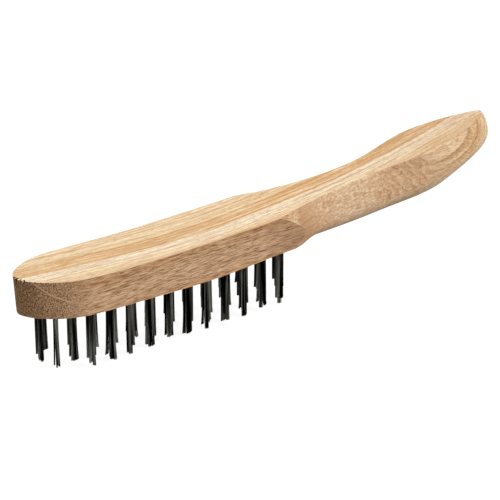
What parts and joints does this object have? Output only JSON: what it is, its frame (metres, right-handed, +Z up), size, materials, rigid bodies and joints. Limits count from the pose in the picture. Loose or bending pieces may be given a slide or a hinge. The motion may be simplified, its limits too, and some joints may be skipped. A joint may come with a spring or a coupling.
{
  "type": "wire brush",
  "caption": "Hand wire brush with a curved one-piece beech head and handle and rows of dark steel wire tufts for cleaning welds, rust and scale.",
  "frame": {"origin": "centre of the object's box, on the surface that the brush stands on with its wire ends down", "axes": "+X from the nose of the head to the tip of the handle, +Z up from the wire ends to the wooden back, +Y across"},
  "size_m": [0.2886, 0.0372, 0.0644],
  "materials": {
    "beech": "plain sanded beech, unvarnished",
    "brush_wire": "dark oil-tempered steel wire",
    "anchor_wire": "bright flat steel wire"
  },
  "bodies": {
    "root": {"beech_body": "beech", "row_1_anchors": "anchor_wire", "row_1_tuft_01": "brush_wire", "row_1_tuft_02": "brush_wire", "row_1_tuft_03": "brush_wire", "row_1_tuft_04": "brush_wire", "row_1_tuft_05": "brush_wire", "row_1_tuft_06": "brush_wire", "row_1_tuft_07": "brush_wire", "row_1_tuft_08": "brush_wire", "row_1_tuft_09": "brush_wire", "row_1_tuft_10": "brush_wire", "row_1_tuft_11": "brush_wire", "row_2_anchors": "anchor_wire", "row_2_tuft_01": "brush_wire", "row_2_tuft_02": "brush_wire", "row_2_tuft_03": "brush_wire", "row_2_tuft_04": "brush_wire", "row_2_tuft_05": "brush_wire", "row_2_tuft_06": "brush_wire", "row_2_tuft_07": "brush_wire", "row_2_tuft_08": "brush_wire", "row_2_tuft_09": "brush_wire", "row_2_tuft_10": "brush_wire", "row_2_tuft_11": "brush_wire", "row_2_tuft_12": "brush_wire", "row_2_tuft_13": "brush_wire", "row_3_anchors": "anchor_wire", "row_3_tuft_01": "brush_wire", "row_3_tuft_02": "brush_wire", "row_3_tuft_03": "brush_wire", "row_3_tuft_04": "brush_wire", "row_3_tuft_05": "brush_wire", "row_3_tuft_06": "brush_wire", "row_3_tuft_07": "brush_wire", "row_3_tuft_08": "brush_wire", "row_3_tuft_09": "brush_wire", "row_3_tuft_10": "brush_wire", "row_3_tuft_11": "brush_wire", "row_3_tuft_12": "brush_wire", "row_3_tuft_13": "brush_wire", "row_4_anchors": "anchor_wire", "row_4_tuft_01": "brush_wire", "row_4_tuft_02": "brush_wire", "row_4_tuft_03": "brush_wire", "row_4_tuft_04": "brush_wire", "row_4_tuft_05": "brush_wire", "row_4_tuft_06": "brush_wire", "row_4_tuft_07": "brush_wire", "row_4_tuft_08": "brush_wire", "row_4_tuft_09": "brush_wire", "row_4_tuft_10": "brush_wire", "row_4_tuft_11": "brush_wire"}
  },
  "joints": []
}
